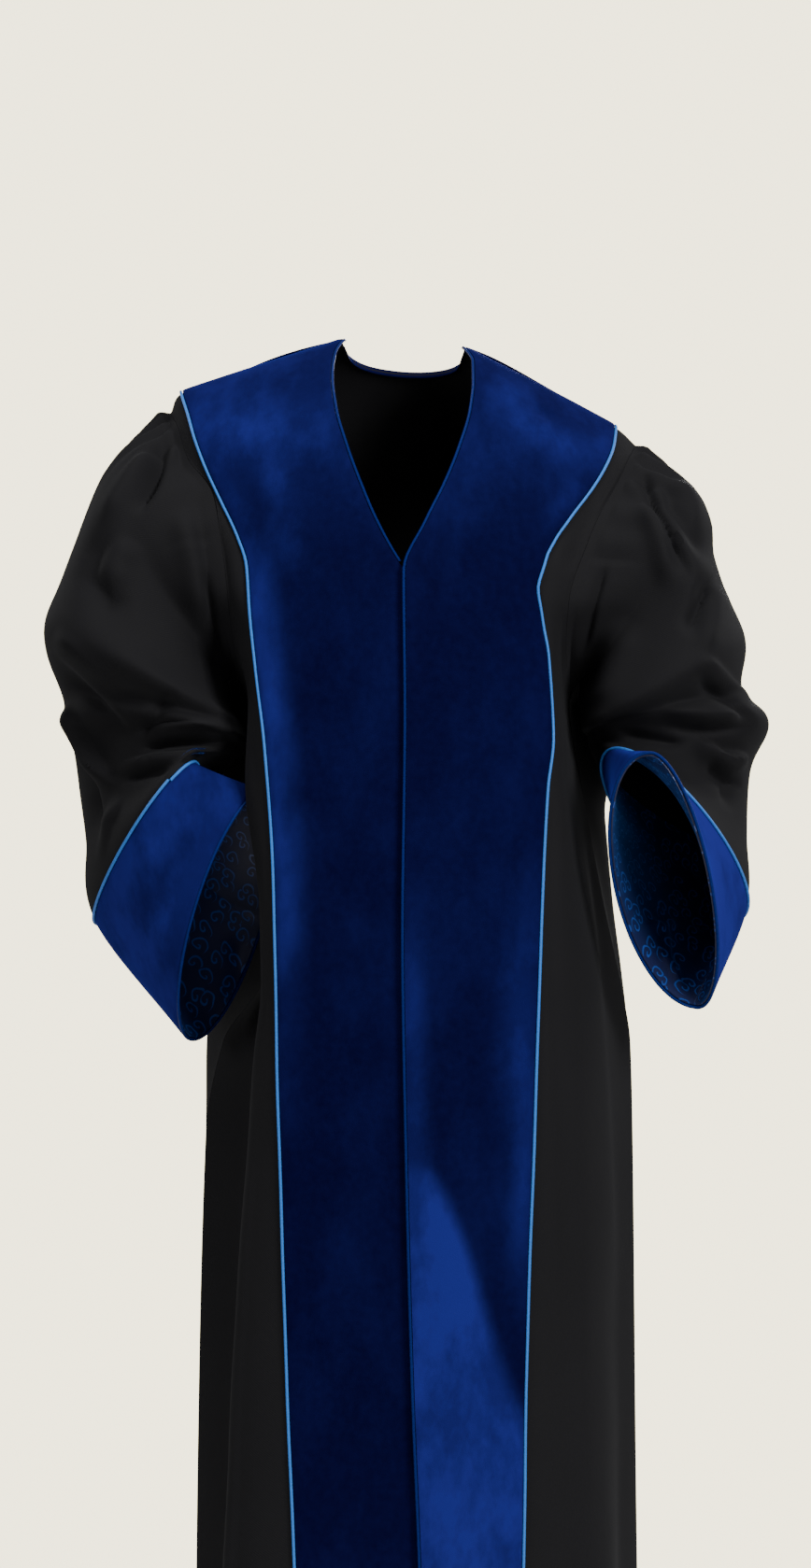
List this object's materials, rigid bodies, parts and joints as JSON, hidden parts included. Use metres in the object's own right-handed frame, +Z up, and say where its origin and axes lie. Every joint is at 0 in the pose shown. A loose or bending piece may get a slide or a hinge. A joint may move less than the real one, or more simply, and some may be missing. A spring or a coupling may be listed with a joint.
{
  "type": "judicial robe",
  "caption": "Worn ankle-length judge's robe, hollow and unfilled, with wide velvet fronts, velvet yoke, gathered sleeves, turned velvet cuffs and satin piping.",
  "frame": {"origin": "middle of the neck opening at the height of the side neck points, where the wearer's neck and shoulders hold the robe", "axes": "+Z up along the body, the front opening faces -Y, +X towards the wearer's left"},
  "size_m": [0.641, 0.3835, 1.3063],
  "materials": {
    "cloth": "black wool twill, soft dull sheen",
    "velvet": "royal blue cotton velvet, brushed pile",
    "piping": "light blue satin piping",
    "cord": "dark blue satin corded edge",
    "lining": "dark blue scroll brocade lining, silky"
  },
  "bodies": {
    "root": {"front_right": "cloth", "velvet_band_right": "velvet", "piping_front_right": "piping", "edge_cord_right": "cord", "front_left": "cloth", "velvet_band_left": "velvet", "piping_front_left": "piping", "edge_cord_left": "cord", "back": "cloth", "velvet_yoke": "velvet", "piping_yoke": "piping", "edge_cord_back": "cord", "sleeve_right": "cloth", "cuff_right": "velvet", "sleeve_lining_right": "lining", "piping_cuff_right": "piping", "cord_cuff_right": "cord", "sleeve_left": "cloth", "cuff_left": "velvet", "sleeve_lining_left": "lining", "piping_cuff_left": "piping", "cord_cuff_left": "cord"}
  },
  "joints": []
}
